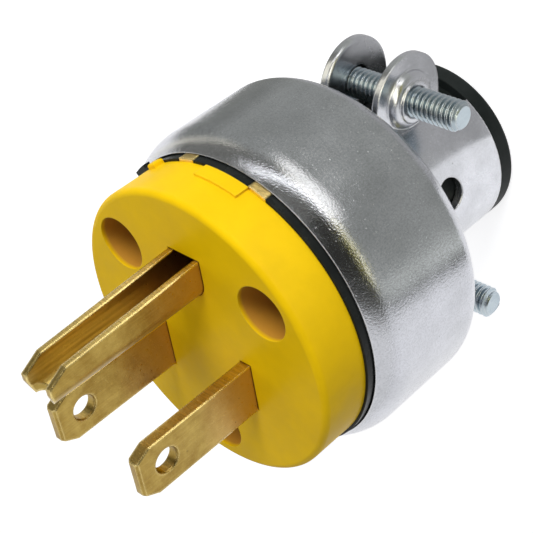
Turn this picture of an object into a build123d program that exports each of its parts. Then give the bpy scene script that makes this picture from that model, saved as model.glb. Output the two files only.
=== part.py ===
from build123d import *

import math
import os

os.makedirs("parts", exist_ok=True)

# A grounding plug with a yellow front, a drawn steel shell and a two-piece cord clamp.
# All sizes are in millimetres. The origin is the centre of the plug's flat face.
# +Z points out of the face along the pins, and +Y points towards the ground pin.

# Flat contact pins
pin_spacing = 12.7
pin_line = -3.8
pin_width = 6.15
pin_thickness = 1.42
pin_length = 16.0
pin_tip_cut = 1.0
pin_tip_run = 1.9
pin_tip_bevel = 0.3
pin_hole_diameter = 2.8
pin_hole_setback = 3.6
pin_hole_bevel = 0.15
pin_bend_radius = 1.5
pin_shoulder_width = 8.2
pin_shoulder_depth = 2.0
foot_reach = 7.9
foot_screw_reach = 4.25

# Ground pin, a strip rolled to a U that is open towards +Y
ground_rise = 11.89
ground_width = 4.4
ground_depth = 5.0
ground_sheet = 0.7
ground_length = 19.7
ground_taper = 0.9
ground_tip_cut = 2.3
ground_tip_slant = 2.2
ground_heel_cut = 0.6
ground_heel_height = 2.0
ground_notch_radius = 1.35
ground_notch_depth = 1.8
ground_foot_reach = 7.8
ground_foot_width = 6.4
ground_screw_reach = 3.7

# Ground strap that touches the shell beside the front body's key
strap_sheet = 0.5
strap_boss_gap = 1.08
strap_height = 8.2
strap_margin = 1.2
strap_tab_width = 2.1
strap_tab_angle = 16.2
strap_tab_shift = 0.7
strap_tab_drop = 3.5

# Yellow front body
front_step = 0.3
front_depth = 6.0
front_edge = 0.7
rib_root = 1.0
key_angle = 84.2
key_arc = 19.0
key_height = 0.3
key_depth = 1.8
lug_angle = 119.0
lug_arc = 4.0
lug_height = 0.6
lug_edge = 0.25
lug_depth = 1.3
face_hole_diameter = 6.3
face_hole_depth = 5.2
face_hole_floor = 2.0
boss_radius = 4.2
boss_inset = 4.73
boss_angle = 37.0

# Black rear body
rear_depth = 10.5
stop_angle = 134.0
stop_arc = 7.0
stop_height = 0.45

# Drawn shell
shell_radius = 19.25
shell_sheet = 0.8
rim_lip = 1.5
rim_gap = 0.95
rim_clearance = 0.15
curl_radius = 5.5
wiring_depth = 6.9
shoulder_radius = 2.8

# Insulating sleeve inside the shell
sleeve_sheet = 0.5
sleeve_setback = 4.25
sleeve_gap = 0.1

# Cord clamp, two stamped halves around a rubber bushing
clamp_rise = 1.5
neck_length = 15.4
clamp_sheet = 1.0
clamp_gap = 6.2
clamp_flange_reach = 3.25
flange_notch_gap = 0.45
opening_web = 0.38
opening_gap = 0.15
ear_radius = 5.25
ear_rise = 1.7
ear_edge = 0.4
ear_bend = 1.0
ear_setback = 7.6
wall_corner_cut = 2.8
side_hole_diameter = 3.9
side_hole_setback = 6.5
side_hole_rise = 2.2
thread_boss_radius = 2.4
thread_boss_height = 1.2
thread_boss_flare = 1.0
thread_boss_sink = 0.1
thread_boss_edge = 0.2

# Rubber bushing
bushing_flange = 2.3
bushing_setback = 1.6
bushing_gap = 0.1
bushing_edge = 0.5
cord_diameter = 9.2

# Screws
clamp_screw_diameter = 3.5
clamp_screw_length = 15.6
lower_screw_extra = 2.9
clamp_head_diameter = 6.2
clamp_head_height = 1.9
clearance_hole_gap = 0.3
terminal_screw_diameter = 3.4
terminal_screw_length = 5.6
terminal_head_diameter = 6.4
terminal_head_height = 2.0
assembly_screw_diameter = 2.2
assembly_screw_tail = 0.6
assembly_head_diameter = 4.8
assembly_head_height = 1.7
slot_width = 0.8
slot_share = 0.5
head_round_share = 0.45
screw_tip_cut = 0.35

# Running and thread clearances
slot_gap = 0.1
thread_gap = 0.05
seat_gap = 0.1

# Sizes and places that follow from the ones above
pin_x = pin_spacing / 2
pin_hole_height = pin_length - pin_hole_setback
rear_face = -front_depth - rear_depth
flat_pin_terminal_x = pin_x + foot_screw_reach
ground_y = pin_line + ground_rise
ground_top = ground_y + ground_depth / 2
ground_bottom = ground_y - ground_depth / 2
ground_arc_y = ground_bottom + ground_width / 2
ground_terminal_y = ground_bottom - ground_screw_reach
terminal_points = [
    (flat_pin_terminal_x, pin_line),
    (-flat_pin_terminal_x, pin_line),
    (0, ground_terminal_y),
]

rim_radius = shell_radius - rim_lip
rim_height = -front_depth - rim_gap
shell_inner = shell_radius - shell_sheet
shell_rear = rear_face - wiring_depth
shell_floor = shell_rear + shell_sheet
rear_radius = rim_radius - rim_clearance
front_radius = rear_radius - front_step

boss_circle = rear_radius - boss_inset
boss_side_x = boss_circle * math.cos(math.radians(boss_angle))
boss_side_y = boss_circle * math.sin(math.radians(boss_angle))
boss_points = [(boss_side_x, boss_side_y), (-boss_side_x, boss_side_y), (0, -boss_circle)]
assembly_names = ["assembly_screw_right", "assembly_screw_left", "assembly_screw_lower"]
assembly_hole_radius = assembly_screw_diameter / 2 + thread_gap
assembly_clearance_radius = assembly_screw_diameter / 2 + clearance_hole_gap

strap_width = 2 * (boss_side_x - boss_radius - strap_boss_gap)
strap_bottom = ground_bottom - strap_margin
strap_tab_x = rim_radius * math.sin(math.radians(strap_tab_angle))
strap_tab_outer = rim_radius - thread_gap
strap_tab_inner = strap_tab_outer - strap_sheet

screw_to_neck = math.hypot(boss_side_x, boss_side_y - clamp_rise)
opening_radius = screw_to_neck - assembly_hole_radius - opening_web
neck_radius = opening_radius - opening_gap
neck_inner = neck_radius - clamp_sheet
neck_rear = shell_rear - neck_length
clamp_back = neck_rear - bushing_flange
clamp_flange_radius = neck_radius + clamp_flange_reach
flange_notch_radius = assembly_screw_diameter / 2 + flange_notch_gap
bushing_front = shell_rear - bushing_setback
side_hole_height = shell_rear - side_hole_setback
ear_outer = clamp_gap / 2 + clamp_sheet
ear_reach = neck_radius + ear_rise
ear_height = shell_rear - ear_setback
ear_points = [(clamp_rise + ear_reach, ear_height), (clamp_rise - ear_reach, ear_height)]
ear_root = math.sqrt(neck_inner**2 - (clamp_gap / 2) ** 2) + clamp_sheet / 2
bend_y = math.sqrt((neck_radius + ear_bend) ** 2 - (ear_outer + ear_bend) ** 2)
bend_share = (neck_radius - clamp_sheet / 2) / (neck_radius + ear_bend)


def ground_channel_outline(gap):
    """Outline of the ground pin's U, closed across its open side, grown by a gap."""
    half = ground_width / 2 + gap
    with BuildSketch() as outline:
        with Locations((0, ground_arc_y)):
            Circle(half)
            Rectangle(2 * half, ground_top - ground_arc_y + gap, align=(Align.CENTER, Align.MIN))
    return outline.sketch


def flat_pin_outline(width, gap):
    """The two flat pins' cross sections, side by side, with a width and a gap around them."""
    with BuildSketch() as outline:
        with Locations((-pin_x, pin_line), (pin_x, pin_line)):
            Rectangle(pin_thickness + 2 * gap, width + 2 * gap)
    return outline.sketch


def strap_outline(gap, reach):
    """The ground strap's flat plate and its two arms, grown by a gap and cut off at a radius."""
    with BuildSketch() as outline:
        with Locations((0, strap_bottom - gap)):
            Rectangle(
                strap_width + 2 * gap,
                strap_height + 2 * gap,
                align=(Align.CENTER, Align.MIN),
            )
        with Locations(
            (strap_tab_shift - strap_tab_x, strap_bottom + strap_height - strap_tab_width / 2),
            (strap_tab_shift + strap_tab_x, strap_bottom + strap_height - strap_tab_width / 2),
        ):
            Rectangle(strap_tab_width + 2 * gap, reach, align=(Align.CENTER, Align.MIN))
        Circle(reach, mode=Mode.INTERSECT)
    return outline.sketch


def sector_outline(inner, outer, middle, spread):
    """A ring sector, given by its two radii, its middle angle and its spread in degrees."""
    with BuildSketch() as outline:
        with BuildLine():
            near = CenterArc((0, 0), inner, middle - spread / 2, spread)
            far = CenterArc((0, 0), outer, middle - spread / 2, spread)
            Line(near @ 0, far @ 0)
            Line(near @ 1, far @ 1)
        make_face()
    return outline.sketch


# Drawn steel shell: curled rim, straight wall, rounded shoulder and a pierced rear wall
curl_centre = shell_radius - curl_radius
curl_base = rim_height - math.sqrt(curl_radius**2 - (rim_radius - curl_centre) ** 2)
inner_curl = curl_radius - shell_sheet
inner_rim = curl_base + math.sqrt(inner_curl**2 - (rim_radius - curl_centre) ** 2)
curl_angle = math.degrees(math.acos((rim_radius - curl_centre) / curl_radius))
inner_angle = math.degrees(math.acos((rim_radius - curl_centre) / inner_curl))
shoulder_centre = (shell_radius - shoulder_radius, shell_rear + shoulder_radius)
with BuildPart() as shell:
    with BuildSketch(Plane.XZ):
        with BuildLine():
            CenterArc((curl_centre, curl_base), curl_radius, 0, curl_angle)
            Line((shell_radius, curl_base), (shell_radius, shoulder_centre[1]))
            CenterArc(shoulder_centre, shoulder_radius, 270, 90)
            Line((shoulder_centre[0], shell_rear), (0, shell_rear))
            Line((0, shell_rear), (0, shell_floor))
            Line((0, shell_floor), (shoulder_centre[0], shell_floor))
            CenterArc(shoulder_centre, shoulder_radius - shell_sheet, 270, 90)
            Line((shell_inner, shoulder_centre[1]), (shell_inner, curl_base))
            CenterArc((curl_centre, curl_base), inner_curl, 0, inner_angle)
            Line((rim_radius, inner_rim), (rim_radius, rim_height))
        make_face()
    revolve(axis=Axis.Z)
    with BuildSketch(Plane.XY.offset(shell_rear)):
        with Locations((0, clamp_rise)):
            Circle(opening_radius)
        with Locations(boss_points):
            Circle(assembly_hole_radius)
    extrude(amount=shell_sheet, mode=Mode.SUBTRACT)
shell.part.label = "shell"
export_step(shell.part, "parts/shell.step")

# Yellow front body: rounded face edge, pin slots, screw wells, key and moulded lug
with BuildPart() as front_body:
    with BuildSketch(Plane.XY.offset(-front_depth)):
        Circle(front_radius)
    extrude(amount=front_depth)
    fillet(front_body.faces().sort_by(Axis.Z)[-1].edges(), front_edge)
    with BuildSketch(Plane.XY.offset(-front_depth)):
        add(sector_outline(front_radius - rib_root, front_radius + key_height, key_angle, key_arc))
    extrude(amount=key_depth)
    with BuildSketch(Plane.XY.offset(-front_depth)):
        add(sector_outline(front_radius - rib_root, front_radius + lug_height, lug_angle, lug_arc))
    extrude(amount=lug_depth)
    lug_faces = front_body.faces().filter_by(GeomType.CYLINDER).sort_by(lambda face: face.radius)
    fillet(lug_faces[-1].edges(), lug_edge)
    with BuildSketch(Plane.XY.offset(-face_hole_depth - face_hole_floor)):
        with Locations(boss_points):
            Circle(boss_radius)
    extrude(amount=face_hole_floor)
    with Locations([(x, y, 0) for x, y in boss_points]):
        CounterBoreHole(
            radius=assembly_clearance_radius,
            counter_bore_radius=face_hole_diameter / 2,
            counter_bore_depth=face_hole_depth,
        )
    with BuildSketch(Plane.XY.offset(-front_depth)):
        add(flat_pin_outline(pin_width, slot_gap))
        add(ground_channel_outline(slot_gap))
    extrude(amount=front_depth, mode=Mode.SUBTRACT)
front_body.part.label = "front_body"
export_step(front_body.part, "parts/front_body.step")

# Black rear body: carries the pins' shoulders, the ground strap and the three terminals
with BuildPart() as rear_body:
    with BuildSketch(Plane.XY.offset(rear_face)):
        Circle(rear_radius)
    extrude(amount=rear_depth)
    with BuildSketch(Plane.XY.offset(rim_height + seat_gap)):
        add(
            sector_outline(
                rear_radius - rib_root,
                rear_radius + stop_height,
                stop_angle,
                stop_arc,
            )
        )
    extrude(amount=-front_depth - rim_height - seat_gap)
    with BuildSketch(Plane.XY.offset(-face_hole_depth - face_hole_floor - seat_gap)):
        with Locations(boss_points):
            Circle(boss_radius + slot_gap)
    extrude(amount=face_hole_floor, mode=Mode.SUBTRACT)
    with BuildSketch(Plane.XY.offset(rear_face)):
        with Locations(boss_points):
            Circle(assembly_clearance_radius)
        add(flat_pin_outline(pin_width, slot_gap))
        add(ground_channel_outline(slot_gap))
    extrude(amount=rear_depth, mode=Mode.SUBTRACT)
    with BuildSketch(Plane.XY.offset(-front_depth - pin_shoulder_depth - seat_gap)):
        add(flat_pin_outline(pin_shoulder_width, slot_gap))
    extrude(amount=pin_shoulder_depth + seat_gap, mode=Mode.SUBTRACT)
    with BuildSketch(Plane.XY.offset(-front_depth - strap_sheet)):
        add(strap_outline(slot_gap, shell_radius))
    extrude(amount=strap_sheet, mode=Mode.SUBTRACT)
    with BuildSketch(Plane.XY.offset(-front_depth - strap_tab_drop - slot_gap)):
        add(strap_outline(slot_gap, shell_radius))
        Circle(strap_tab_inner - thread_gap, mode=Mode.SUBTRACT)
    extrude(amount=strap_tab_drop + slot_gap, mode=Mode.SUBTRACT)
    with BuildSketch(Plane.XY.offset(rear_face)):
        with Locations(terminal_points):
            Circle(terminal_screw_diameter / 2 + clearance_hole_gap)
    extrude(amount=terminal_screw_length, mode=Mode.SUBTRACT)
rear_body.part.label = "rear_body"
export_step(rear_body.part, "parts/rear_body.step")

# Insulating sleeve that keeps the terminals away from the shell's wall
with BuildPart() as insulating_sleeve:
    with BuildSketch(Plane.XY.offset(shell_rear + shoulder_radius)):
        Circle(shell_inner - sleeve_gap)
        Circle(shell_inner - sleeve_gap - sleeve_sheet, mode=Mode.SUBTRACT)
    extrude(amount=rim_height - sleeve_setback - shell_rear - shoulder_radius)
insulating_sleeve.part.label = "insulating_sleeve"
export_step(insulating_sleeve.part, "parts/insulating_sleeve.step")

# Flat pins: strip with bevelled tip, lockout hole, shoulder and a foot bent under the body
for side, name in ((1, "line_blade"), (-1, "neutral_blade")):
    with BuildPart() as blade:
        with BuildSketch(Plane.XZ.offset(-pin_line - pin_width / 2)):
            with BuildLine():
                Polyline(
                    (side * (pin_x - pin_thickness / 2), pin_length),
                    (side * (pin_x + pin_thickness / 2), pin_length),
                    (side * (pin_x + pin_thickness / 2), rear_face),
                    (side * (pin_x + foot_reach), rear_face),
                    (side * (pin_x + foot_reach), rear_face - pin_thickness),
                    (side * (pin_x - pin_thickness / 2), rear_face - pin_thickness),
                    close=True,
                )
            make_face()
        extrude(amount=pin_width)
        bend = blade.edges().filter_by(Axis.Y).group_by(Axis.Z)[0]
        fillet(bend.sort_by(Axis.X)[0 if side > 0 else -1], pin_bend_radius)
        chamfer(
            blade.edges().filter_by(Axis.X).group_by(Axis.Z)[-1],
            pin_tip_cut,
            pin_tip_run,
            reference=blade.faces().sort_by(Axis.Z)[-1],
        )
        chamfer(blade.edges().filter_by(Axis.Y).group_by(Axis.Z)[-1], pin_tip_bevel)
        with BuildSketch(Plane.XY.offset(-front_depth - pin_shoulder_depth)):
            with Locations((side * pin_x, pin_line)):
                Rectangle(pin_thickness, pin_shoulder_width)
        extrude(amount=pin_shoulder_depth)
        with BuildSketch(Plane.YZ):
            with Locations((pin_line, pin_hole_height)):
                Circle(pin_hole_diameter / 2)
        extrude(amount=side * pin_spacing, mode=Mode.SUBTRACT)
        chamfer(blade.edges().filter_by(GeomType.CIRCLE).group_by(Axis.Z)[-1], pin_hole_bevel)
        with BuildSketch(Plane.XY.offset(rear_face)):
            with Locations((side * flat_pin_terminal_x, pin_line)):
                Circle(terminal_screw_diameter / 2 + thread_gap)
        extrude(amount=-pin_thickness, mode=Mode.SUBTRACT)
    blade.part.label = name
    export_step(blade.part, f"parts/{name}.step")

# Ground pin: U-shaped channel with tapered legs, a notch in the web and its own foot
with BuildPart() as ground_pin:
    with BuildSketch(Plane.XY.offset(rear_face)):
        add(ground_channel_outline(0))
        with Locations((0, ground_arc_y)):
            Circle(ground_width / 2 - ground_sheet, mode=Mode.SUBTRACT)
            Rectangle(
                ground_width - 2 * ground_sheet,
                ground_depth,
                align=(Align.CENTER, Align.MIN),
                mode=Mode.SUBTRACT,
            )
    extrude(amount=ground_length - rear_face)
    with BuildSketch(Plane.YZ.offset(-ground_width)):
        with BuildLine():
            Polyline(
                (ground_top, 0),
                (ground_top - ground_taper, ground_length - ground_tip_cut),
                (ground_top - ground_tip_slant, ground_length),
                (ground_top, ground_length),
                close=True,
            )
        make_face()
        with BuildLine():
            Polyline(
                (ground_bottom, ground_length - ground_heel_cut),
                (ground_bottom + ground_heel_height, ground_length),
                (ground_bottom, ground_length),
                close=True,
            )
        make_face()
    extrude(amount=2 * ground_width, mode=Mode.SUBTRACT)
    with BuildSketch(Plane.XZ.offset(-ground_arc_y)):
        with Locations((0, ground_length - ground_notch_depth + ground_notch_radius)):
            Circle(ground_notch_radius)
            Rectangle(
                2 * ground_notch_radius,
                ground_notch_depth,
                align=(Align.CENTER, Align.MIN),
            )
    extrude(amount=ground_width, mode=Mode.SUBTRACT)
    with BuildSketch(Plane.XY.offset(rear_face)):
        with Locations((0, ground_arc_y)):
            Rectangle(
                ground_foot_width,
                ground_arc_y - ground_bottom + ground_foot_reach,
                align=(Align.CENTER, Align.MAX),
            )
        with Locations((0, ground_terminal_y)):
            Circle(terminal_screw_diameter / 2 + thread_gap, mode=Mode.SUBTRACT)
    extrude(amount=-ground_sheet)
ground_pin.part.label = "ground_pin"
export_step(ground_pin.part, "parts/ground_pin.step")

# Ground strap: plate around the ground pin, with two tabs folded back against the rim
with BuildPart() as ground_strap:
    with BuildSketch(Plane.XY.offset(-front_depth - strap_sheet)):
        add(strap_outline(0, strap_tab_outer))
        add(ground_channel_outline(thread_gap), mode=Mode.SUBTRACT)
    extrude(amount=strap_sheet)
    with BuildSketch(Plane.XY.offset(-front_depth - strap_tab_drop)):
        add(strap_outline(0, strap_tab_outer))
        Circle(strap_tab_inner, mode=Mode.SUBTRACT)
    extrude(amount=strap_tab_drop)
ground_strap.part.label = "ground_strap"
export_step(ground_strap.part, "parts/ground_strap.step")

# Clamp halves: curved wall, hooked flange inside the shell, round ears and a hole in the side
for side, name in ((1, "clamp_half_right"), (-1, "clamp_half_left")):
    inward = Align.MIN if side > 0 else Align.MAX
    with BuildPart() as half:
        # Curved wall
        with BuildSketch(Plane.XY.offset(neck_rear)):
            with Locations((0, clamp_rise)):
                Circle(neck_radius)
                Circle(neck_inner, mode=Mode.SUBTRACT)
            with Locations((side * clamp_gap / 2, clamp_rise)):
                Rectangle(
                    neck_radius,
                    2 * neck_radius,
                    align=(inward, Align.CENTER),
                    mode=Mode.INTERSECT,
                )
        extrude(amount=shell_floor + clamp_sheet - neck_rear)
        # Corners cut away behind the ears
        with BuildSketch(Plane.XY.offset(neck_rear)):
            with Locations((side * clamp_gap / 2, clamp_rise)):
                Rectangle(wall_corner_cut, 2 * neck_radius, align=(inward, Align.CENTER))
        extrude(amount=ear_height - ear_radius - neck_rear, mode=Mode.SUBTRACT)
        # Flange inside the shell, notched around the assembly screw
        with BuildSketch(Plane.XY.offset(shell_floor)):
            with Locations((0, clamp_rise)):
                Circle(clamp_flange_radius)
                Circle(neck_inner, mode=Mode.SUBTRACT)
            with Locations((side * clamp_gap / 2, clamp_rise)):
                Rectangle(
                    clamp_flange_radius,
                    2 * clamp_flange_radius,
                    align=(inward, Align.CENTER),
                    mode=Mode.INTERSECT,
                )
            with Locations((side * boss_side_x, boss_side_y)):
                Circle(flange_notch_radius, mode=Mode.SUBTRACT)
                Rectangle(
                    clamp_flange_radius,
                    2 * flange_notch_radius,
                    align=(inward, Align.CENTER),
                    mode=Mode.SUBTRACT,
                )
        extrude(amount=clamp_sheet)
        # Ears with rounded edges
        with BuildSketch(Plane.YZ.offset(side * clamp_gap / 2)):
            for up in (1, -1):
                outward = Align.MIN if up > 0 else Align.MAX
                with Locations((clamp_rise + up * ear_reach, ear_height)):
                    Circle(ear_radius)
                with Locations((clamp_rise + up * ear_root, ear_height)):
                    Rectangle(ear_reach - ear_root, 2 * ear_radius, align=(outward, Align.CENTER))
                with Locations((clamp_rise, ear_height)):
                    Rectangle(
                        ear_root,
                        2 * ear_radius,
                        align=(outward, Align.CENTER),
                        mode=Mode.SUBTRACT,
                    )
        extrude(amount=side * clamp_sheet)
        ear_faces = half.faces().filter_by(Axis.X).group_by(Axis.X)
        fillet(
            (ear_faces[0] + ear_faces[-1]).edges().filter_by(GeomType.CIRCLE),
            ear_edge,
        )
        # Round bends between the ears and the curved wall
        with BuildSketch(Plane.XY.offset(ear_height - ear_radius + ear_edge)):
            for up in (1, -1):
                with BuildLine():
                    Polyline(
                        (side * (ear_outer - clamp_sheet / 2), clamp_rise + up * bend_y),
                        (side * (ear_outer + ear_bend), clamp_rise + up * bend_y),
                        (
                            side * (ear_outer + ear_bend) * bend_share,
                            clamp_rise + up * bend_y * bend_share,
                        ),
                        (side * (ear_outer - clamp_sheet / 2), clamp_rise + up * ear_root),
                        close=True,
                    )
                make_face()
                with Locations((side * (ear_outer + ear_bend), clamp_rise + up * bend_y)):
                    Circle(ear_bend, mode=Mode.SUBTRACT)
        extrude(amount=2 * (ear_radius - ear_edge))
        # Flared, threaded bosses on the right half, flats for the screw heads on the left half
        if side > 0:
            for y, z in ear_points:
                with BuildSketch(Plane((ear_outer, y, z), x_dir=(0, 1, 0), z_dir=(0, 0, -1))):
                    with BuildLine():
                        Polyline(
                            (thread_boss_radius + thread_boss_flare, -thread_boss_sink),
                            (0, -thread_boss_sink),
                            (0, thread_boss_height),
                            (thread_boss_radius, thread_boss_height),
                            (thread_boss_radius, thread_boss_flare - thread_boss_sink),
                        )
                        RadiusArc(
                            (thread_boss_radius, thread_boss_flare - thread_boss_sink),
                            (thread_boss_radius + thread_boss_flare, -thread_boss_sink),
                            thread_boss_flare,
                        )
                    make_face()
                revolve(axis=Axis((0, y, z), (1, 0, 0)))
            rims = half.edges().filter_by(GeomType.CIRCLE).group_by(Axis.X)[-1]
            fillet(rims, thread_boss_edge)
        else:
            with BuildSketch(Plane.YZ.offset(-ear_outer)):
                with Locations(*ear_points):
                    Circle(clamp_head_diameter / 2 + seat_gap)
            extrude(amount=-clamp_head_height, mode=Mode.SUBTRACT)
        # Screw holes and the hole in the side
        with BuildSketch(Plane.YZ):
            with Locations(*ear_points):
                Circle(clamp_screw_diameter / 2 + (thread_gap if side > 0 else clearance_hole_gap))
            with Locations((clamp_rise + side_hole_rise, side_hole_height)):
                Circle(side_hole_diameter / 2)
        extrude(amount=side * 2 * neck_radius, mode=Mode.SUBTRACT)
    half.part.label = name
    export_step(half.part, f"parts/{name}.step")

# Rubber bushing: flange behind the clamp halves, sleeve between them, bore for the cord
with BuildPart() as cord_bushing:
    with BuildSketch(Plane.XY.offset(clamp_back)):
        with Locations((0, clamp_rise)):
            Circle(neck_radius)
    extrude(amount=bushing_flange)
    fillet(cord_bushing.edges().group_by(Axis.Z)[0], bushing_edge)
    with BuildSketch(Plane.XY.offset(neck_rear)):
        with Locations((0, clamp_rise)):
            Circle(neck_inner - bushing_gap)
    extrude(amount=bushing_front - neck_rear)
    with BuildSketch(Plane.XY.offset(clamp_back)):
        with Locations((0, clamp_rise)):
            Circle(cord_diameter / 2)
    extrude(amount=bushing_front - clamp_back, mode=Mode.SUBTRACT)
cord_bushing.part.label = "cord_bushing"
export_step(cord_bushing.part, "parts/cord_bushing.step")

# Screws across the clamp, heads on the left half and tips through the right half's threads
for (y, z), extra, name in (
    (ear_points[0], 0, "clamp_screw_upper"),
    (ear_points[1], lower_screw_extra, "clamp_screw_lower"),
):
    with BuildPart() as clamp_screw:
        with BuildSketch(Plane.YZ.offset(-ear_outer)):
            with Locations((y, z)):
                Circle(clamp_screw_diameter / 2)
        extrude(amount=clamp_screw_length + extra)
        chamfer(clamp_screw.edges().group_by(Axis.X)[-1], screw_tip_cut)
        with BuildSketch(Plane.YZ.offset(-ear_outer)):
            with Locations((y, z)):
                Circle(clamp_head_diameter / 2)
        extrude(amount=-clamp_head_height)
        fillet(clamp_screw.edges().group_by(Axis.X)[0], clamp_head_height * head_round_share)
        with BuildSketch(Plane.YZ.offset(-ear_outer - clamp_head_height)):
            with Locations((y, z)):
                Rectangle(slot_width, clamp_head_diameter)
        extrude(amount=clamp_head_height * slot_share, mode=Mode.SUBTRACT)
    clamp_screw.part.label = name
    export_step(clamp_screw.part, f"parts/{name}.step")

# Terminal screws, one for each wire, threaded through the pins' feet
for (x, y), sheet, name in (
    (terminal_points[0], pin_thickness, "line_terminal_screw"),
    (terminal_points[1], pin_thickness, "neutral_terminal_screw"),
    (terminal_points[2], ground_sheet, "ground_terminal_screw"),
):
    with BuildPart() as terminal_screw:
        with BuildSketch(Plane.XY.offset(rear_face - sheet)):
            with Locations((x, y)):
                Circle(terminal_screw_diameter / 2)
        extrude(amount=terminal_screw_length)
        with BuildSketch(Plane.XY.offset(rear_face - sheet)):
            with Locations((x, y)):
                Circle(terminal_head_diameter / 2)
        extrude(amount=-terminal_head_height)
        fillet(
            terminal_screw.edges().group_by(Axis.Z)[0],
            terminal_head_height * head_round_share,
        )
        with BuildSketch(Plane.XY.offset(rear_face - sheet - terminal_head_height)):
            with Locations((x, y)):
                Rectangle(slot_width, terminal_head_diameter)
        extrude(amount=terminal_head_height * slot_share, mode=Mode.SUBTRACT)
    terminal_screw.part.label = name
    export_step(terminal_screw.part, f"parts/{name}.step")

# Long screws that draw the front body, the rear body and the shell together
for (x, y), name in zip(boss_points, assembly_names):
    with BuildPart() as assembly_screw:
        with BuildSketch(Plane.XY.offset(shell_rear - assembly_screw_tail)):
            with Locations((x, y)):
                Circle(assembly_screw_diameter / 2)
        extrude(amount=-face_hole_depth - shell_rear + assembly_screw_tail)
        with BuildSketch(Plane.XY.offset(-face_hole_depth)):
            with Locations((x, y)):
                Circle(assembly_head_diameter / 2)
        extrude(amount=assembly_head_height)
        fillet(
            assembly_screw.edges().group_by(Axis.Z)[-1],
            assembly_head_height * head_round_share,
        )
        with BuildSketch(Plane.XY.offset(-face_hole_depth + assembly_head_height)):
            with Locations((x, y)):
                Rectangle(slot_width, assembly_head_diameter)
        extrude(amount=-assembly_head_height * slot_share, mode=Mode.SUBTRACT)
    assembly_screw.part.label = name
    export_step(assembly_screw.part, f"parts/{name}.step")
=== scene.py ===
# %% [markdown]
# # A grounding plug with a yellow face and a steel shell
#
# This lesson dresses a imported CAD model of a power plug. The CAD gives every
# solid its true size and place, so we never move or reshape a node. What is left for
# Blender is the light, the camera, the surface of each material and the screw
# threads, which are too fine for the CAD.

import math

import bmesh
import bpy
from mathutils import Matrix, Quaternion, Vector


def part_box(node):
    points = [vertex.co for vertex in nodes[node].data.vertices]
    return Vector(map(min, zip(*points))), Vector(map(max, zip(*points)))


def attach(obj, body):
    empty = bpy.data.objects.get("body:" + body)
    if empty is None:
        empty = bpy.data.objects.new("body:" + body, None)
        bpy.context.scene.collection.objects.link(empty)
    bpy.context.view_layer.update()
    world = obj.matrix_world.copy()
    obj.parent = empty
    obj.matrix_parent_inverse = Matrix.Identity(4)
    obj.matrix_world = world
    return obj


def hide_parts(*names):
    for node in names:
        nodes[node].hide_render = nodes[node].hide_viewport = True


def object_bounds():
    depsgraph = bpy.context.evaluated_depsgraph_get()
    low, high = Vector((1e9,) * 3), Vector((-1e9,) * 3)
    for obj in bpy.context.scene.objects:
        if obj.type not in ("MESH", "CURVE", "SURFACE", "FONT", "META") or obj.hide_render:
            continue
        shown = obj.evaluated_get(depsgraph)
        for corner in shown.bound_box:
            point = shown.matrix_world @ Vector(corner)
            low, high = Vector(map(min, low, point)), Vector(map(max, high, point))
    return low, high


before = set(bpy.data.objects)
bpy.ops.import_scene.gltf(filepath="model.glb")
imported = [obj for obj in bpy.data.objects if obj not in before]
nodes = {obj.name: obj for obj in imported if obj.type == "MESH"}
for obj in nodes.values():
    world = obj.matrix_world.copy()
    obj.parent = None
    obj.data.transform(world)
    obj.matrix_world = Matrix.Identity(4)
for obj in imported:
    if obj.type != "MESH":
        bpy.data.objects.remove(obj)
cad_low, cad_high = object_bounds()
MM = 0.001
print(len(nodes), "nodes,", [round((b - a) / MM, 1) for a, b in zip(cad_low, cad_high)], "mm")

# %% [markdown]
# ## The camera
#
# The photograph was taken from close by, with the plug lying on its side, while our
# frame has the plug standing on its cord end. So the camera looks down past the
# pins and is rolled until the ground pin points up in the picture. A place, an
# aim and a roll say this in three values that a person can change.

# %% Place the camera
scene = bpy.context.scene
scene.view_settings.view_transform = "Standard"
picture_width = 533
camera_place = Vector((84.785, 86.892, 61.972)) * MM
camera_look = Vector((-0.60543, -0.60476, -0.51742))
camera_roll = math.radians(127.25)
focal_pixels = 1303.66

camera_data = bpy.data.cameras.new("camera")
camera_data.sensor_width = 36.0
camera_data.lens = focal_pixels / picture_width * camera_data.sensor_width
camera = bpy.data.objects.new("camera", camera_data)
scene.collection.objects.link(camera)
camera.location = camera_place
camera.rotation_mode = "QUATERNION"
camera.rotation_quaternion = Quaternion(camera_look, camera_roll) @ camera_look.to_track_quat("-Z", "Y")
camera_data.clip_start = 0.005
camera_data.clip_end = 20.0
scene.camera = camera
print("lens", round(camera_data.lens, 1), "mm")

# %% [markdown]
# ## Helpers for node trees
#
# A material is a small graph, and five helpers keep the recipes short. One adds a node
# and sets its sockets, one joins an output to an input, and three place the commonest
# nodes: a sum, a change of range and a mix of two colours.

# %% Helpers for node trees
def add(tree, kind, sockets=None, **settings):
    """Adds a node, sets its own settings and then the sockets given by name or number."""
    made = tree.nodes.new(kind)
    for name, value in settings.items():
        setattr(made, name, value)
    for name, value in (sockets or {}).items():
        made.inputs[name].default_value = value
    return made


def join(tree, source, target):
    """Joins an output socket to an input socket."""
    tree.links.new(source, target)


def maths(tree, operation, first, second=None):
    """A Math node. Its inputs are sockets or plain numbers."""
    made = add(tree, "ShaderNodeMath", operation=operation)
    for index, value in enumerate((first, second)):
        if value is None:
            continue
        if isinstance(value, (int, float)):
            made.inputs[index].default_value = value
        else:
            join(tree, value, made.inputs[index])
    return made.outputs[0]


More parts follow.
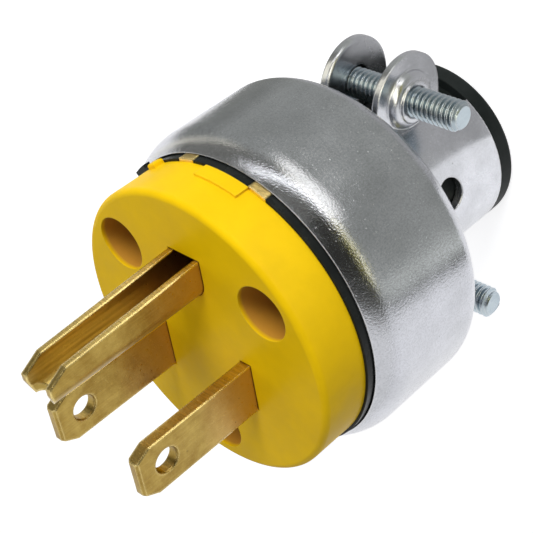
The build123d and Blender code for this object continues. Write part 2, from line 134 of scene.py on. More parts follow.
def remap(tree, value, low, high, out_low=0.0, out_high=1.0):
    """A Map Range node that takes low..high to out_low..out_high and stops at both ends."""
    made = add(tree, "ShaderNodeMapRange", clamp=True)
    join(tree, value, made.inputs["Value"])
    limits = {"From Min": low, "From Max": high, "To Min": out_low, "To Max": out_high}
    for name, number in limits.items():
        if isinstance(number, (int, float)):
            made.inputs[name].default_value = number
        else:
            join(tree, number, made.inputs[name])
    return made.outputs["Result"]


def mix_colour(tree, factor, first, second):
    """A Mix node for colours. Its factor and colours are sockets or plain values."""
    made = add(tree, "ShaderNodeMix", data_type="RGBA")
    for index, value in ((0, factor), (6, first), (7, second)):
        if hasattr(value, "is_linked"):
            join(tree, value, made.inputs[index])
        else:
            made.inputs[index].default_value = value
    return made.outputs[2]


# %% [markdown]
# ## The floor, the world and the lamps
#
# The plug was photographed on white under soft light from above. A pale floor under
# the cord end keeps the plug's shadow. The camera and mirror-like surfaces see a
# white world, while matt surfaces get a calmer light from it, so no colour washes
# out. Two soft lamps give the form: the stronger one stands on the ground pin's side.

# %% World
matt_light = (0.34, 0.34, 0.36, 1)
mirror_light = (1.0, 1.0, 1.0, 1)


def build_world():
    """White for the camera and for mirrors, and a calmer light for everything else."""
    world = bpy.data.worlds.new("studio")
    scene.world = world
    world.use_nodes = True
    tree = world.node_tree
    tree.nodes.clear()
    path = add(tree, "ShaderNodeLightPath")
    seen = maths(tree, "MAXIMUM", path.outputs["Is Camera Ray"], path.outputs["Is Glossy Ray"])
    seen = maths(tree, "MAXIMUM", seen, path.outputs["Is Transmission Ray"])
    shade = mix_colour(tree, seen, matt_light, mirror_light)
    background = add(tree, "ShaderNodeBackground", {"Strength": 1.0})
    join(tree, shade, background.inputs["Color"])
    output = add(tree, "ShaderNodeOutputWorld")
    join(tree, background.outputs[0], output.inputs["Surface"])
    return world


print("world", build_world().name)


# %% Floor
floor_reach = 1500 * MM
floor_gap = 0.02 * MM
floor_tone = 0.7
floor_glow = 0.76


def build_floor():
    """Pale paper just under the cord end. Its own glow, seen but not cast, lifts it to white."""
    shape = bmesh.new()
    bmesh.ops.create_grid(shape, x_segments=1, y_segments=1, size=floor_reach)
    bmesh.ops.translate(shape, verts=shape.verts, vec=(0, 0, cad_low.z - floor_gap))
    mesh = bpy.data.meshes.new("floor")
    shape.to_mesh(mesh)
    shape.free()
    floor = bpy.data.objects.new("floor", mesh)
    scene.collection.objects.link(floor)
    material = bpy.data.materials.new("floor_paper")
    material.use_nodes = True
    tree = material.node_tree
    paper = tree.nodes["Principled BSDF"]
    paper.inputs["Base Color"].default_value = (floor_tone, floor_tone, floor_tone, 1)
    paper.inputs["Roughness"].default_value = 0.9
    paper.inputs["Specular IOR Level"].default_value = 0.0
    paper.inputs["Emission Color"].default_value = (1, 1, 1, 1)
    path = add(tree, "ShaderNodeLightPath")
    seen = maths(tree, "MAXIMUM", path.outputs["Is Camera Ray"], path.outputs["Is Glossy Ray"])
    join(tree, maths(tree, "MULTIPLY", seen, floor_glow), paper.inputs["Emission Strength"])
    mesh.materials.append(material)
    return floor


print("floor at", round(build_floor().data.vertices[0].co.z / MM, 2), "mm")


# %% Lamps
def soft_lamp(name, direction, distance, size, power):
    """A square lamp that looks at the plug's middle. Distance and size in metres, power in watts."""
    lamp_data = bpy.data.lights.new(name, "AREA")
    lamp_data.shape = "SQUARE"
    lamp_data.size = size
    lamp_data.energy = power
    lamp = bpy.data.objects.new(name, lamp_data)
    scene.collection.objects.link(lamp)
    way = Vector(direction).normalized()
    lamp.location = (cad_low + cad_high) / 2 + way * distance
    lamp.visible_glossy = False
    lamp.rotation_mode = "QUATERNION"
    lamp.rotation_quaternion = (-way).to_track_quat("-Z", "Y")
    return lamp


key_lamp = soft_lamp("key_lamp", direction=(0.15, 1.0, 0.35), distance=0.5, size=0.22, power=1.8)
fill_lamp = soft_lamp("fill_lamp", direction=(-1.0, 0.3, 0.5), distance=0.7, size=0.4, power=0.5)
for lamp in (key_lamp, fill_lamp):
    print(lamp.name, round(lamp.data.energy, 2), "W")

# %% [markdown]
# Bare metal shows its surroundings. In the photograph the shell mirrors a grey table on
# the camera's side with a bright sheet of paper on it, the rolled rim mirrors a dark camera
# with a long bright lamp beside it, and everything else is white. Cards stand for them:
# only mirror reflections see them, so they change no light, no shadow and no background.
# Each is given by radii and heights in mm and by degrees round Z, counted from +X.

# %% Cards for the metal to mirror
def mirror_card(name, corners, faces, tone):
    """A card of corners in mm and faces, lit by itself and seen by reflections alone."""
    mesh = bpy.data.meshes.new(name)
    mesh.from_pydata([Vector(corner) * MM for corner in corners], [], faces)
    card = bpy.data.objects.new(name, mesh)
    scene.collection.objects.link(card)
    card.visible_camera = card.visible_diffuse = card.visible_shadow = card.visible_transmission = False
    material = bpy.data.materials.new(name)
    material.use_nodes = True
    paint = material.node_tree.nodes["Principled BSDF"]
    paint.inputs["Base Color"].default_value = (0, 0, 0, 1)
    paint.inputs["Specular IOR Level"].default_value = 0.0
    paint.inputs["Emission Color"].default_value = (*tone, 1)
    paint.inputs["Emission Strength"].default_value = 1.0
    mesh.materials.append(material)


def round_card(name, inner, outer, first, last, tone):
    """A card that sweeps the line between inner and outer, both (radius, height), round Z."""
    steps = 24
    corners = []
    for step in range(steps + 1):
        angle = math.radians(first + (last - first) * step / steps)
        corners += [(r * math.cos(angle), r * math.sin(angle), height) for r, height in (inner, outer)]
    faces = [(2 * step, 2 * step + 1, 2 * step + 3, 2 * step + 2) for step in range(steps)]
    mirror_card(name, corners, faces, tone)


table_height = cad_low.z / MM + 0.3
paper_height = table_height + 0.1
table_near, table_far = 28, 650
table_tones = (
    (-9, -3, 0.11), (-3, 5, 0.9), (5, 12, 0.55), (12, 25, 0.44),
    (25, 60, 0.38), (60, 100, 0.44), (100, 140, 0.41), (140, 172, 0.29),
)
for number, (first, last, tone) in enumerate(table_tones):
    greenish = (tone, 1.03 * tone, 0.97 * tone)
    inner, outer = (table_near, table_height), (table_far, table_height)
    round_card(f"table_card_{number}", inner, outer, first, last, greenish)
round_card("near_card", (12, table_height), (table_near, table_height), 30, 172, (0.5, 0.5, 0.5))
round_card("paper_card", (84, paper_height), (300, paper_height), 52, 96, (1.7, 1.68, 1.6))

# These two lie level, so the rim sees them edge-on and they brighten the pins' edges alone.
inner, outer = (28, -9.8), (62, -9.8)
round_card("pin_edge_card", inner, outer, 18, 80, (2.6, 2.5, 2.1))
round_card("pin_side_card", inner, outer, 105, 160, (1.3, 1.25, 1.05))

wall_top, room, room_top = 800, 480, 780
round_card("wall_card", (table_far, table_height), (table_far, wall_top), -14, 172, (0.22, 0.22, 0.2))
round_card("corner_card", (room, 20), (room, room_top), -10, 8, (0.13, 0.13, 0.12))
round_card("camera_card", (room, 40), (room, room_top), 8, 62, (0.035, 0.035, 0.03))
round_card("yellow_card", (room, -30), (room, 38), 10, 54, (0.52, 0.47, 0.04))

lamp_line = ((289, 345, -9), (131, 430, 7), (-15, 434, 107), (-168, 360, 202))
lamp_half_width = 32
lamp_tone = (3.6, 3.6, 3.6)
strip = [(x, y, z + side * lamp_half_width) for x, y, z in lamp_line for side in (-1, 1)]
strip_faces = [(i, i + 1, i + 3, i + 2) for i in range(0, len(strip) - 2, 2)]
mirror_card("lamp_strip", strip, strip_faces, lamp_tone)

# %% [markdown]
# ## Effects that several materials share
#
# Real surfaces are never even. Each effect below is a node group with its own sizes in
# millimetres, so that one recipe serves plastic and metal alike. A group gives only a
# mask or a value, and each material decides what to do with it.

# %% Effect: a group's frame
def start_group(name, inputs, outputs):
    """A new shader group with float inputs, given as (name, default), and float outputs."""
    group = bpy.data.node_groups.new(name, "ShaderNodeTree")
    for socket, value in inputs:
        made = group.interface.new_socket(socket, in_out="INPUT", socket_type="NodeSocketFloat")
        made.default_value = value
    for socket in outputs:
        group.interface.new_socket(socket, in_out="OUTPUT", socket_type="NodeSocketFloat")
    return group, add(group, "NodeGroupInput"), add(group, "NodeGroupOutput")


def object_millimetres(tree, stretch=(1.0, 1.0, 1.0), turn=(0.0, 0.0, 0.0)):
    """Object coordinates in mm. A stretch under 1 makes a pattern long, a turn in radians slants it."""
    place = add(tree, "ShaderNodeTexCoord")
    scale = add(tree, "ShaderNodeMapping", {"Scale": [s / MM for s in stretch], "Rotation": turn})
    join(tree, place.outputs["Object"], scale.inputs["Vector"])
    return scale.outputs["Vector"]


# %% Effect: uneven grain
def build_grain():
    """Soft unevenness: Size in mm, Detail in octaves. Gives a Value around 0.5."""
    group, given, out = start_group("Uneven grain", [("Size", 1.0), ("Detail", 3.0)], ["Value"])
    noise = add(group, "ShaderNodeTexNoise", {"Roughness": 0.6})
    join(group, object_millimetres(group), noise.inputs["Vector"])
    join(group, maths(group, "DIVIDE", 1.0, given.outputs["Size"]), noise.inputs["Scale"])
    join(group, given.outputs["Detail"], noise.inputs["Detail"])
    join(group, noise.outputs["Fac"], out.inputs["Value"])
    return group


grain_group = build_grain()
print("group", grain_group.name)


# %% Effect: pits
def build_pits():
    """Round specks: Spacing and Radius in mm, Share of the places that have one. Gives a Mask."""
    group, given, out = start_group(
        "Pits", [("Spacing", 1.0), ("Radius", 0.1), ("Share", 0.3)], ["Mask"]
    )
    where = object_millimetres(group)
    cells = add(group, "ShaderNodeTexVoronoi", feature="F1")
    join(group, where, cells.inputs["Vector"])
    join(group, maths(group, "DIVIDE", 1.0, given.outputs["Spacing"]), cells.inputs["Scale"])
    reach = maths(group, "DIVIDE", given.outputs["Radius"], given.outputs["Spacing"])
    core = maths(group, "MULTIPLY", reach, 0.5)
    inside = remap(group, cells.outputs["Distance"], core, reach, 1.0, 0.0)
    chance = add(group, "ShaderNodeSeparateColor")
    join(group, cells.outputs["Color"], chance.inputs[0])
    kept = maths(group, "LESS_THAN", chance.outputs[0], given.outputs["Share"])
    join(group, maths(group, "MULTIPLY", inside, kept), out.inputs["Mask"])
    return group


pits_group = build_pits()
print("group", pits_group.name)


# %% Effect: hairlines
hairline_turns = ((0.5, 0.3, 0.9), (1.1, -0.7, 0.2))


def build_hairlines():
    """Straight fine dashes that run two ways. Width and Length are in mm, and a Share is from 0 to 1."""
    group, given, out = start_group(
        "Hairlines", [("Width", 0.05), ("Length", 4.0), ("Share", 0.2)], ["Mask"]
    )
    across = maths(group, "DIVIDE", 1.0, given.outputs["Width"])
    along = maths(group, "DIVIDE", 1.0, given.outputs["Length"])
    squeeze = add(group, "ShaderNodeCombineXYZ")
    for index, value in enumerate((across, across, along)):
        join(group, value, squeeze.inputs[index])
    limit = maths(group, "SUBTRACT", 0.8, maths(group, "MULTIPLY", given.outputs["Share"], 0.4))
    masks = []
    for turn in hairline_turns:
        long_ways = add(group, "ShaderNodeVectorMath", operation="MULTIPLY")
        join(group, object_millimetres(group, turn=turn), long_ways.inputs[0])
        join(group, squeeze.outputs[0], long_ways.inputs[1])
        dashes = add(group, "ShaderNodeTexNoise", {"Scale": 1.0, "Detail": 1.0})
        join(group, long_ways.outputs[0], dashes.inputs["Vector"])
        masks.append(remap(group, dashes.outputs["Fac"], limit, maths(group, "ADD", limit, 0.07)))
    join(group, maths(group, "MAXIMUM", *masks), out.inputs["Mask"])
    return group


hairline_group = build_hairlines()
print("group", hairline_group.name)


# %% Effect: lines of drawing and shearing
def build_lines(name, stretch):
    """Noise drawn out along one axis, as a die or a shear leaves it. Width in mm. Gives a Value."""
    group, given, out = start_group(name, [("Width", 0.1)], ["Value"])
    noise = add(group, "ShaderNodeTexNoise", {"Detail": 3.0})
    join(group, object_millimetres(group, stretch=stretch), noise.inputs["Vector"])
    join(group, maths(group, "DIVIDE", 1.0, given.outputs["Width"]), noise.inputs["Scale"])
    join(group, noise.outputs["Fac"], out.inputs["Value"])
    return group


drawn_group = build_lines("Lines along Z", stretch=(1.0, 1.0, 0.03))
sheared_group = build_lines("Lines along X", stretch=(0.12, 1.0, 1.0))
print("groups", drawn_group.name, "and", sheared_group.name)


# %% Effect: worn edges
bevel_samples = 6


def build_edges():
    """Edges found by comparing the true normal with a rounded one. Radius is in mm. Gives a Mask."""
    group, given, out = start_group("Worn edges", [("Radius", 0.2)], ["Mask"])
    radius = maths(group, "MULTIPLY", given.outputs["Radius"], MM)
    rounded = add(group, "ShaderNodeBevel", samples=bevel_samples)
    join(group, radius, rounded.inputs["Radius"])
    flat = add(group, "ShaderNodeNewGeometry")
    match = add(group, "ShaderNodeVectorMath", operation="DOT_PRODUCT")
    join(group, rounded.outputs[0], match.inputs[0])
    join(group, flat.outputs["Normal"], match.inputs[1])
    join(group, remap(group, match.outputs["Value"], 0.985, 0.8), out.inputs["Mask"])
    return group


edge_group = build_edges()
print("group", edge_group.name)


# %% Using an effect
def effect(tree, group, output, **values):
    """Places an effect group in a material and gives its output. Values are set on its inputs."""
    made = add(tree, "ShaderNodeGroup", node_tree=group)
    for name, value in values.items():
        made.inputs[name].default_value = value
    return made.outputs[output]


def start_material(name, **sockets):
    """A material with its Principled shader's plain sockets set by name, _ standing for a space."""
    material = bpy.data.materials.new(name)
    material.use_nodes = True
    tree = material.node_tree
    shader = tree.nodes["Principled BSDF"]
    for socket, value in sockets.items():
        shader.inputs[socket.replace("_", " ")].default_value = value
    return material, tree, shader


def bump(tree, shader, layers, edge_radius):
    """Stacks (height, depth) layers into the shader's normal, over rounded edges. All in mm."""
    rounded = add(tree, "ShaderNodeBevel", {"Radius": edge_radius * MM}, samples=bevel_samples)
    normal = rounded.outputs[0]
    for height, depth in layers:
        made = add(tree, "ShaderNodeBump", {"Strength": 1.0, "Distance": depth * MM})
        join(tree, height, made.inputs["Height"])
        join(tree, normal, made.inputs["Normal"])
        normal = made.outputs[0]
    join(tree, normal, shader.inputs["Normal"])


def dress(material, *names):
    """Gives a material to CAD nodes or pieces."""
    for name in names:
        mesh = bpy.data.objects[name].data
        mesh.materials.clear()
        mesh.materials.append(material)


# %% [markdown]
# ## Yellow moulded plastic
#
# The front body is injection moulded in a warm, strong yellow with a smooth, satin
# skin. Its colour is nearly even, so the surface does the work: faint waviness, a fine
# grain, a few dull rubs and slightly paler edges. The three screw wells get painted shade:
# the colour deepens to orange by the distance from a well's middle, read from the screw
# that stands in it, for the shade in them and the light that bounces round inside.

# %% Yellow plastic
# The wells' painted shade: a deeper orange inside the three screw wells, for their shade and bounced
# light.
well_radius = 3.3
well_fade = 0.12
well_depths = (-0.1, -0.6)
well_shade_tone = (0.5, 0.215, 0.04, 1)
well_screws = [name for name in nodes if name.startswith("assembly_screw")]


def well_shade_mask(tree):
    """Where the wells' painted shade goes: 1 inside the three screw wells, fading out at the face."""
    where = object_millimetres(tree)
    height = add(tree, "ShaderNodeSeparateXYZ")
    join(tree, where, height.inputs[0])
    nearest = 100.0
    for name in well_screws:
        low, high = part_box(name)
        middle = (low + high) / 2 / MM
        flat = add(tree, "ShaderNodeVectorMath", {1: (1.0, 1.0, 0.0)}, operation="MULTIPLY")
        join(tree, where, flat.inputs[0])
        reach = add(tree, "ShaderNodeVectorMath", {1: (middle.x, middle.y, 0.0)}, operation="DISTANCE")
        join(tree, flat.outputs[0], reach.inputs[0])
        nearest = maths(tree, "MINIMUM", reach.outputs["Value"], nearest)
    inside = remap(tree, nearest, well_radius, well_radius + well_fade, 1.0, 0.0)
    return maths(tree, "MULTIPLY", inside, remap(tree, height.outputs[2], *well_depths))


def yellow_plastic():
    """Clouded yellow with paler edges and the wells' painted shade in orange."""
    material, tree, shader = start_material("yellow_plastic", IOR=1.5, Specular_IOR_Level=0.08)
    cloud = effect(tree, grain_group, "Value", Size=5.0, Detail=3.0)
    fine = effect(tree, grain_group, "Value", Size=0.25, Detail=2.0)
    rubs = effect(tree, hairline_group, "Mask", Width=0.06, Length=3.0, Share=0.12)
    edges = effect(tree, edge_group, "Mask", Radius=0.25)
    clouded = remap(tree, cloud, 0.35, 0.65)
    colour = mix_colour(tree, clouded, (0.9, 0.57, 0.002, 1), (0.97, 0.62, 0.002, 1))
    colour = mix_colour(tree, maths(tree, "MULTIPLY", edges, 0.2), colour, (1.0, 0.76, 0.08, 1))
    # Painted shade: the wells turn a deeper orange.
    colour = mix_colour(tree, maths(tree, "MULTIPLY", well_shade_mask(tree), 0.85), colour, well_shade_tone)
    join(tree, colour, shader.inputs["Base Color"])
    rough = remap(tree, cloud, 0.3, 0.7, 0.4, 0.5)
    rough = maths(tree, "ADD", rough, maths(tree, "MULTIPLY", rubs, 0.15))
    join(tree, rough, shader.inputs["Roughness"])
    bump(tree, shader, [(cloud, 0.06), (fine, 0.004), (rubs, -0.006)], edge_radius=0.15)
    return material


dress(yellow_plastic(), "front_body")
print("yellow plastic on front_body")

# %% [markdown]
# ## Black plastic, rubber and the inner sleeve
#
# Three black pieces differ only in how they shine: the rear body is glossy, the
# bushing has the satin bloom of rubber, and the rolled sleeve inside is matt.

# %% Black finishes
def black_finish(name, colour, bloom, rough, grain_size, depth, edge_radius):
    """A black whose bloom, a paler tone, comes through in clouds."""
    material, tree, shader = start_material(name, IOR=1.5, Specular_IOR_Level=0.1)
    cloud = effect(tree, grain_group, "Value", Size=3.0, Detail=4.0)
    fine = effect(tree, grain_group, "Value", Size=grain_size, Detail=2.0)
    specks = effect(tree, pits_group, "Mask", Spacing=1.6, Radius=0.08, Share=0.15)
    tone = mix_colour(tree, remap(tree, cloud, 0.4, 0.7), colour, bloom)
    tone = mix_colour(tree, maths(tree, "MULTIPLY", specks, 0.35), tone, (0.2, 0.2, 0.19, 1))
    join(tree, tone, shader.inputs["Base Color"])
    join(tree, remap(tree, cloud, 0.3, 0.7, rough, rough + 0.12), shader.inputs["Roughness"])
    bump(tree, shader, [(fine, depth)], edge_radius=edge_radius)
    return material


gloss_black = black_finish(
    "gloss_black", colour=(0.012, 0.014, 0.013, 1), bloom=(0.02, 0.022, 0.02, 1),
    rough=0.2, grain_size=0.5, depth=0.004, edge_radius=0.12,
)
rubber_black = black_finish(
    "rubber_black", colour=(0.009, 0.012, 0.011, 1), bloom=(0.018, 0.022, 0.021, 1),
    rough=0.42, grain_size=0.3, depth=0.006, edge_radius=0.2,
)
matt_black = black_finish(
    "matt_black", colour=(0.03, 0.03, 0.03, 1), bloom=(0.05, 0.05, 0.05, 1),
    rough=0.6, grain_size=0.4, depth=0.006, edge_radius=0.1,
)
dress(gloss_black, "rear_body")
dress(rubber_black, "cord_bushing")
dress(matt_black, "insulating_sleeve")
print("blacks on rear_body, cord_bushing, insulating_sleeve")

# %% [markdown]
# ## Handled brass
#
# The pins are stamped from brass strip. Their flat faces are satin, with small pits and
# straight rubs from outlets, the long edges are burnished and carry a painted highlight,
# and the colour wanders from olive to warm brown where fingers have dulled it. Two places
# get painted light: a warm painted reflection of the yellow face close to the face, and
# painted light inside the ground pin's channel.

# %% Brass
channel_radius = 1.5
channel_sides = 2.8
channel_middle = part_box("ground_pin")[1].y / MM - channel_sides
channel_wall_fade = (channel_radius + 0.02, channel_radius + 0.12)
channel_mouth_fade = (2.5, 8.0)
channel_tip_fade = (18.0, 15.0)
# Painted warm reflection of the yellow face on the pins, strongest at the face.
face_reflection_fade = (8.0, 1.0)
# Painted light inside the ground pin's channel.
channel_light_tone = (0.85, 0.66, 0.24, 1)
face_reflection_tone = (0.62, 0.38, 0.15, 1)
shear_tone = (0.85, 0.62, 0.22, 1)
mark_tone = (0.12, 0.07, 0.015, 1)
pit_tone = (0.14, 0.08, 0.02, 1)
rub_tone = (0.7, 0.54, 0.22, 1)
# Burnished edges, brightened further as a painted highlight.
burnished_highlight_tone = (1.0, 0.82, 0.38, 1)


def pin_tones(tree, tone):
    """Paints a warm reflection of the yellow face on the brass near it, and paints light inside the
    ground pin's channel.
    """
    place = add(tree, "ShaderNodeSeparateXYZ")
    join(tree, object_millimetres(tree), place.inputs[0])
    across, up, height = place.outputs
    # Painted reflection of the yellow face, warming the brass near it.
    warm = maths(tree, "MULTIPLY", remap(tree, height, *face_reflection_fade), 0.8)
    tone = mix_colour(tree, warm, tone, face_reflection_tone)
    # Painted light inside the ground pin's channel, in streaks.
    below = maths(tree, "MINIMUM", maths(tree, "SUBTRACT", up, channel_middle), 0.0)
    squares = [maths(tree, "MULTIPLY", side, side) for side in (across, below)]
    reach = maths(tree, "SQRT", maths(tree, "ADD", *squares))
    inside = remap(tree, reach, *channel_wall_fade, 0.92, 0.0)
    inside = maths(tree, "MULTIPLY", inside, remap(tree, height, *channel_mouth_fade))
    inside = maths(tree, "MULTIPLY", inside, remap(tree, height, *channel_tip_fade, 0.55, 1.0))
    streaks = effect(tree, drawn_group, "Value", Width=0.4)
    inside = maths(tree, "MULTIPLY", inside, remap(tree, streaks, 0.38, 0.6, 0.5, 1.0))
    return mix_colour(tree, inside, tone, channel_light_tone)


def scaled(colour, factor):
    """A colour made brighter or darker."""
    return [part * factor for part in colour[:3]] + [1]


def brass(name, clean, dull, rough, retouch=None):
    """Satin brass between a clean and a dull tone. Retouch is a function that changes the tone."""
    material, tree, shader = start_material(name, Metallic=1.0)
    cloud = effect(tree, grain_group, "Value", Size=2.6, Detail=5.0)
    fine = effect(tree, grain_group, "Value", Size=0.3, Detail=4.0)
    pits = effect(tree, pits_group, "Mask", Spacing=1.4, Radius=0.1, Share=0.25)
    rubs = effect(tree, hairline_group, "Mask", Width=0.07, Length=3.5, Share=0.3)
    drawn = effect(tree, drawn_group, "Value", Width=0.18)
    sheared = effect(tree, sheared_group, "Value", Width=0.16)
    edges = effect(tree, edge_group, "Mask", Radius=0.45)
    facing = add(tree, "ShaderNodeSeparateXYZ")
    join(tree, add(tree, "ShaderNodeTexCoord").outputs["Normal"], facing.inputs[0])
    narrow = remap(tree, maths(tree, "ABSOLUTE", facing.outputs[1]), 0.8, 0.95)
    marks = maths(tree, "MULTIPLY", narrow, remap(tree, sheared, 0.4, 0.65))
    tone = mix_colour(tree, remap(tree, cloud, 0.36, 0.64), dull, clean)
    tone = mix_colour(tree, remap(tree, drawn, 0.5, 0.75, 0.0, 0.3), tone, scaled(clean, 1.35))
    if retouch:
        tone = retouch(tree, tone)
    tone = mix_colour(tree, maths(tree, "MULTIPLY", narrow, 0.7), tone, shear_tone)
    tone = mix_colour(tree, maths(tree, "MULTIPLY", marks, 0.3), tone, mark_tone)
    tone = mix_colour(tree, maths(tree, "MULTIPLY", pits, 0.6), tone, pit_tone)
    tone = mix_colour(tree, maths(tree, "MULTIPLY", rubs, 0.25), tone, rub_tone)
    # Burnished edges with a painted highlight.
    tone = mix_colour(tree, maths(tree, "MULTIPLY", edges, 0.85), tone, burnished_highlight_tone)
    join(tree, tone, shader.inputs["Base Color"])
    worn = remap(tree, fine, 0.3, 0.7, rough, rough + 0.16)
    worn = maths(tree, "SUBTRACT", worn, maths(tree, "MULTIPLY", edges, 0.2))
    join(tree, worn, shader.inputs["Roughness"])
    grown = [(cloud, 0.05), (fine, 0.008), (drawn, 0.008)]
    worked = [(marks, 0.02), (pits, -0.02), (rubs, -0.006)]
    bump(tree, shader, grown + worked, edge_radius=0.4)
    return material


pin_brass = brass(
    "pin_brass", clean=(0.44, 0.31, 0.08, 1), dull=(0.3, 0.19, 0.038, 1), rough=0.26, retouch=pin_tones
)
strap_brass = brass("strap_brass", clean=(0.95, 0.75, 0.36, 1), dull=(0.75, 0.56, 0.24, 1), rough=0.28)
dress(pin_brass, "line_blade", "neutral_blade", "ground_pin")
dress(strap_brass, "ground_strap")
print("brass on the pins and the strap")

# %% [markdown]
# ## Plated steel
#
# The shell is drawn from steel and nickel plated, so it mirrors the room softly. Drawing
# leaves a fine orange peel that sparkles where light grazes it, with painted glints added
# as white specks in the colour, and handling adds small dark pits and hairlines. The clamp
# and the screws are zinc plated, which is cloudier and a little blue.

# %% Plated metal
line_tone = (0.75, 0.75, 0.75, 1)
painted_glint_tone = (0.95, 0.96, 1.0, 1)
dirt_tone = (0.12, 0.11, 0.1, 1)
edge_tone = (0.9, 0.9, 0.9, 1)


def plated(name, clear, cloudy, rough, peel_size, peel_depth, pit_share, sparkle, edge_radius):
    """Plate between a clear and a cloudy tone. The peel's size and depth are in mm."""
    material, tree, shader = start_material(name, Metallic=1.0)
    cloud = effect(tree, grain_group, "Value", Size=5.0, Detail=5.0)
    peel = effect(tree, grain_group, "Value", Size=peel_size, Detail=2.0)
    pits = effect(tree, pits_group, "Mask", Spacing=0.9, Radius=0.07, Share=pit_share)
    rubs = effect(tree, hairline_group, "Mask", Width=0.05, Length=2.5, Share=0.16)
    drawn = effect(tree, drawn_group, "Value", Width=0.15)
    edges = effect(tree, edge_group, "Mask", Radius=0.25)
    tone = mix_colour(tree, remap(tree, cloud, 0.35, 0.65), cloudy, clear)
    tone = mix_colour(tree, remap(tree, drawn, 0.6, 0.75, 0.0, 0.25), tone, line_tone)
    sand = effect(tree, grain_group, "Value", Size=0.2, Detail=1.0)
    tone = mix_colour(tree, remap(tree, sand, 0.42, 0.7, 0.0, sparkle), tone, scaled(clear, 0.45))
    # Glint dots: painted glints as white specks in the colour, which also bump the surface.
    glints = effect(tree, pits_group, "Mask", Spacing=0.5, Radius=0.11, Share=0.35)
    broad = effect(tree, grain_group, "Value", Size=7.0, Detail=2.0)
    patches = remap(tree, broad, 0.45, 0.6, 0.15, 1.0)
    glints = maths(tree, "MULTIPLY", maths(tree, "MULTIPLY", glints, patches), sparkle)
    # Painted glints: the dots turn near white.
    tone = mix_colour(tree, glints, tone, painted_glint_tone)
    tone = mix_colour(tree, maths(tree, "MULTIPLY", pits, 0.7), tone, dirt_tone)
    tone = mix_colour(tree, maths(tree, "MULTIPLY", edges, 0.5), tone, edge_tone)
    join(tree, tone, shader.inputs["Base Color"])
    dullness = remap(tree, cloud, 0.3, 0.7, rough, rough + 0.1)
    dullness = maths(tree, "ADD", dullness, maths(tree, "MULTIPLY", rubs, 0.1))
    join(tree, dullness, shader.inputs["Roughness"])
    layers = [(peel, peel_depth), (drawn, 0.0015), (pits, -0.02), (rubs, -0.006), (glints, 0.05)]
    bump(tree, shader, layers, edge_radius=edge_radius)
    return material


shell_nickel = plated(
    "shell_nickel", clear=(0.59, 0.6, 0.64, 1), cloudy=(0.5, 0.51, 0.54, 1), rough=0.13,
    peel_size=0.2, peel_depth=0.026, pit_share=0.3, sparkle=0.28, edge_radius=0.15,
)
clamp_zinc = plated(
    "clamp_zinc", clear=(0.7, 0.71, 0.75, 1), cloudy=(0.56, 0.57, 0.6, 1), rough=0.2,
    peel_size=0.8, peel_depth=0.006, pit_share=0.12, sparkle=0.15, edge_radius=0.3,
)
screw_zinc = plated(
    "screw_zinc", clear=(0.5, 0.57, 0.61, 1), cloudy=(0.36, 0.43, 0.48, 1), rough=0.22,
    peel_size=0.6, peel_depth=0.004, pit_share=0.1, sparkle=0.1, edge_radius=0.06,
)
dress(shell_nickel, "shell")
dress(clamp_zinc, "clamp_half_left", "clamp_half_right")
small_screws = well_screws + [name for name in nodes if name.endswith("terminal_screw")]
dress(screw_zinc, *small_screws)
print("plate on shell, clamp halves and", len(small_screws), "small screws")

# %% [markdown]
# ## Clamp screws with real threads
#
# The two screws across the cord clamp stand in plain view, so their threads are modelled.
# The CAD node is a plain rod of the thread's full width. The piece that takes its place has a
# thinner core and a ridge that spins round it, moving on by one pitch with every
# turn: that is what bmesh's spin does when it gets a step along the axis.

# %% A clamp screw's sizes in mm
thread_radius = 1.75
thread_depth = 0.35
thread_pitch = 0.65
thread_crest = 0.12
ridge_sink = 0.05
core_radius = thread_radius - thread_depth
core_start = -0.2
core_chamfer = 0.15
ridge_start = 0.2
ridge_end_gap = 0.25
tip_cut = 0.35
head_height = 1.9
head_radius = 3.1
head_round = 0.85
slot_width = 0.8
slot_depth = 0.95
merge_distance = 0.001 * MM

# Sides of a full turn, steps of the head's round edge and the angle that stays sharp.
thread_sides = 28
core_sides = 48
head_sides = 64
round_steps = 6
sharp_angle = math.radians(32)


# %% Turning a profile
def lathe(shape, outline, sides):
    """Spins an outline of (along, radius) pairs in mm a full turn round the X axis."""
    points = [shape.verts.new((along * MM, radius * MM, 0)) for along, radius in outline]
    edges = [shape.edges.new(pair) for pair in zip(points, points[1:])]
    bmesh.ops.spin(
        shape, geom=points + edges, cent=(0, 0, 0), axis=(1, 0, 0),
        angle=math.tau, steps=sides, use_merge=True,
    )


def thread_ridge(shape, start, end):
    """Winds a ridge round the X axis from start to end, both in mm."""
    root = core_radius - ridge_sink
    foot = (thread_pitch - thread_crest) / 2
    crest = thread_crest / 2
    section = ((-foot, root), (-crest, thread_radius), (crest, thread_radius), (foot, root))
    corners = [shape.verts.new(((start + along) * MM, radius * MM, 0)) for along, radius in section]
    face = shape.faces.new(corners)
    turns = (end - start) / thread_pitch
    steps = round(turns * thread_sides)
    bmesh.ops.spin(
        shape, geom=[face] + corners + list(face.edges), cent=(0, 0, 0), axis=(1, 0, 0),
        dvec=(thread_pitch * turns / steps * MM, 0, 0),
        angle=math.tau * turns, steps=steps, use_merge=False,
    )


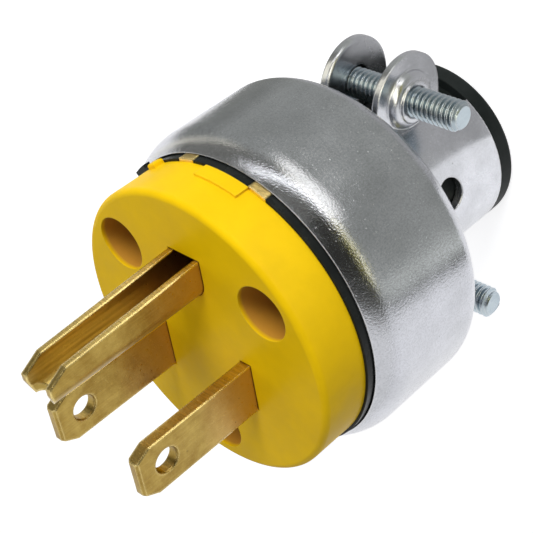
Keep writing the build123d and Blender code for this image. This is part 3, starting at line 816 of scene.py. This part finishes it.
# %% A slotted screw
def slotted_head(shape):
    """A round head on the side x < 0, in two halves over a disc, so that the slot stays open."""
    top = -head_height
    waist = top + slot_depth
    lathe(shape, [(0, 0), (0, head_radius), (waist, head_radius), (waist, 0)], head_sides)
    outline = [(waist, 0), (waist, head_radius), (top + head_round, head_radius)]
    for step in range(1, round_steps + 1):
        angle = math.radians(90 - step * 90 / round_steps)
        along = top + head_round * (1 - math.cos(angle))
        outline.append((along, head_radius - head_round * (1 - math.sin(angle))))
    outline.append((top, 0))
    for side in (1, -1):
        half = bmesh.new()
        lathe(half, outline, head_sides)
        bmesh.ops.remove_doubles(half, verts=half.verts, dist=merge_distance)
        cut = bmesh.ops.bisect_plane(
            half, geom=half.verts[:] + half.edges[:] + half.faces[:],
            plane_co=(0, side * slot_width / 2 * MM, 0), plane_no=(0, side, 0), clear_inner=True,
        )
        rim = [part for part in cut["geom_cut"] if isinstance(part, bmesh.types.BMEdge)]
        bmesh.ops.holes_fill(half, edges=rim)
        mesh = bpy.data.meshes.new("half_head")
        half.to_mesh(mesh)
        half.free()
        shape.from_mesh(mesh)
        bpy.data.meshes.remove(mesh)


def clamp_screw(node, slot_turn):
    """Replaces a CAD clamp screw by one with a slotted head, a wound thread and a cone at its tip."""
    low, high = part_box(node)
    length = (high.x - low.x) / MM - head_height
    shape = bmesh.new()
    core = [
        (core_start, 0), (core_start, core_radius), (length - core_chamfer, core_radius),
        (length, core_radius - core_chamfer), (length, 0),
    ]
    lathe(shape, core, core_sides)
    thread_ridge(shape, ridge_start, length - ridge_end_gap)
    for corner in shape.verts:
        along = corner.co.x / MM - (length - tip_cut)
        reach = math.hypot(corner.co.y, corner.co.z) / MM
        limit = thread_radius - along
        if along > 0 and reach > limit:
            corner.co.y *= limit / reach
            corner.co.z *= limit / reach
    slotted_head(shape)
    bmesh.ops.remove_doubles(shape, verts=shape.verts, dist=merge_distance)
    bmesh.ops.recalc_face_normals(shape, faces=shape.faces)
    turned = Matrix.Rotation(slot_turn, 3, "X")
    bmesh.ops.rotate(shape, verts=shape.verts, cent=(0, 0, 0), matrix=turned)
    middle = (low + high) / 2
    under_head = (low.x + head_height * MM, middle.y, middle.z)
    bmesh.ops.translate(shape, verts=shape.verts, vec=under_head)
    mesh = bpy.data.meshes.new(node + "_threaded")
    shape.to_mesh(mesh)
    shape.free()
    mesh.shade_smooth()
    mesh.set_sharp_from_angle(angle=sharp_angle)
    screw = bpy.data.objects.new(node + "_threaded", mesh)
    scene.collection.objects.link(screw)
    mesh.materials.append(screw_zinc)
    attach(screw, "root")
    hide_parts(node)
    return screw


for node, degrees in (("clamp_screw_upper", 25), ("clamp_screw_lower", -40)):
    screw = clamp_screw(node, math.radians(degrees))
    print(screw.name, len(screw.data.polygons), "faces")
